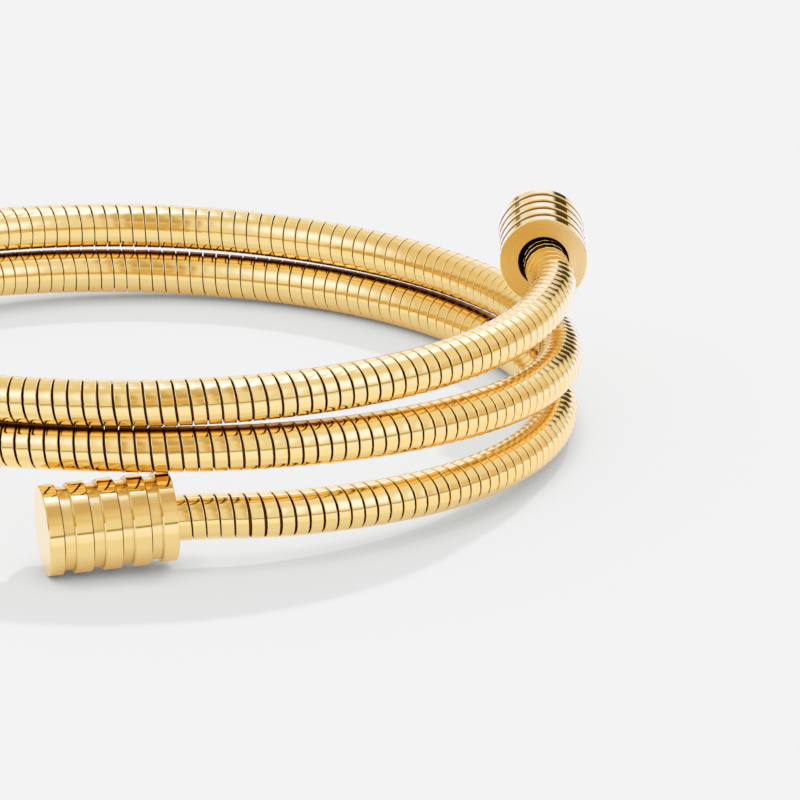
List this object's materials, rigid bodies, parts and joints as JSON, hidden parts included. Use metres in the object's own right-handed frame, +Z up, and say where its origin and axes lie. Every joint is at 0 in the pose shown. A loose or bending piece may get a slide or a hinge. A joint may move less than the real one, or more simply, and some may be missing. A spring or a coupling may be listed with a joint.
{
  "type": "coil bracelet",
  "caption": "Springy coil bracelet of strip-wound metal tube that wraps round the wrist, with a ridged barrel cap on each end.",
  "frame": {"origin": "middle of the footprint, on the surface that the bracelet lies on", "axes": "+Z up through the wrist opening, +X to the upper cap's side, -Y to the lower cap's side"},
  "size_m": [0.0664, 0.0698, 0.0155],
  "materials": {
    "wound_strip": "polished gold-coloured rolled strip",
    "turned_caps": "polished gold-coloured, lathe-turned, satin open face"
  },
  "bodies": {
    "root": {"wound_tube": "wound_strip", "upper_end_cap": "turned_caps", "lower_end_cap": "turned_caps"}
  },
  "joints": []
}
